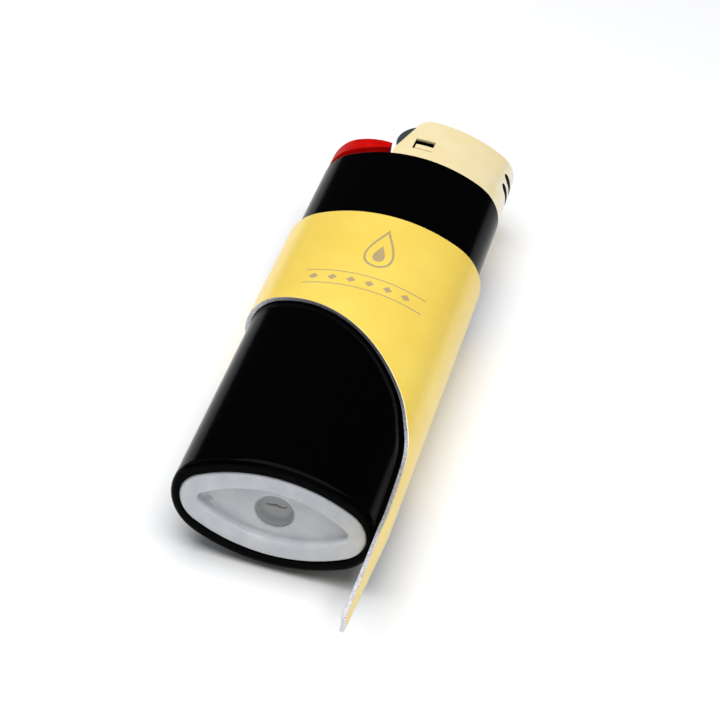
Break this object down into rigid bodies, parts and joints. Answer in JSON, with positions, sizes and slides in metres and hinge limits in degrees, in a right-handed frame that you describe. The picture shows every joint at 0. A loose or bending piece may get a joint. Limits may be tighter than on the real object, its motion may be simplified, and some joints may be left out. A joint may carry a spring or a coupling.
{
  "type": "flint spark lighter",
  "caption": "Oval pocket gas lighter with flint wheel, gas lever and windshield hood, wearing a sheet-metal tool clip that ends in a poker.",
  "frame": {"origin": "on the body's long axis, in the plane of the base's flat rim", "axes": "+Y along the body from base to flame end, +X towards the poker's side, +Z out of the front broad face; the lighter lies on its back"},
  "size_m": [0.0266, 0.094, 0.017],
  "materials": {
    "natural_acetal": "natural white acetal, satin",
    "black_acetal": "glossy black moulded acetal",
    "plain_steel": "plain drawn steel",
    "valve_brass": "turned brass",
    "filter_foam": "pressed porous filter",
    "washer_aluminium": "stamped aluminium",
    "wick_fibre": "bundled fibre",
    "seal_rubber": "moulded nitrile rubber",
    "red_plastic": "moulded red plastic",
    "hard_steel": "hardened steel, cut teeth",
    "roller_steel": "polished blued steel",
    "flint_alloy": "cast ferrocerium rod",
    "pale_gold_hood": "pale gold lacquer over steel",
    "gold_clip": "gold coated stainless sheet, bare cut edges"
  },
  "bodies": {
    "tank": {"reservoir": "black_acetal", "base_plug": "natural_acetal", "filling_ball": "plain_steel", "valve_insert": "valve_brass", "flow_filter": "filter_foam", "filter_washer": "washer_aluminium", "fuel_wick": "wick_fibre", "lever_spring": "plain_steel", "flint_spring": "plain_steel", "guard_pin": "plain_steel", "hood": "pale_gold_hood"},
    "lever": {"gas_lever": "red_plastic"},
    "gas_jet": {"jet": "valve_brass", "valve_seal": "seal_rubber"},
    "wheel": {"wheel_axle": "plain_steel", "spark_wheel": "hard_steel", "thumb_wheel_front": "roller_steel", "thumb_wheel_back": "roller_steel"},
    "guard": {"guard_band": "plain_steel"},
    "flint_rod": {"flint": "flint_alloy"},
    "clip": {"tool_clip": "gold_clip"}
  },
  "joints": [
    {"name": "lever_press", "type": "hinge", "parent": "tank", "child": "lever", "pos_m": [0.001, 0.0697, 0], "axis": [0, 0, 1], "range_deg": [0, 6], "stiffness_Nm_per_rad": 0.4, "deforming": ["lever_spring"]},
    {"name": "jet_lift", "type": "slide", "parent": "tank", "child": "gas_jet", "axis": [0, 1, 0], "range_m": [0, 0.00055]},
    {"name": "wheel_spin", "type": "hinge", "parent": "tank", "child": "wheel", "pos_m": [0.0005, 0.0755, 0], "axis": [0, 0, 1], "continuous": true},
    {"name": "guard_flex", "type": "hinge", "parent": "tank", "child": "guard", "pos_m": [0.0045, 0.0735, 0], "axis": [0, 0, 1], "range_deg": [0, 5], "stiffness_Nm_per_rad": 0.3},
    {"name": "flint_feed", "type": "slide", "parent": "tank", "child": "flint_rod", "axis": [0, 1, 0], "range_m": [-0.001, 0], "stiffness_N_per_m": 200, "deforming": ["flint_spring"]},
    {"name": "clip_slide", "type": "slide", "parent": "tank", "child": "clip", "axis": [0, 1, 0], "range_m": [-0.058, 0.004]}
  ],
  "couplings": [
    {"joint": "lever_press", "follows": "jet_lift", "rad_per_m": 188.68}
  ]
}
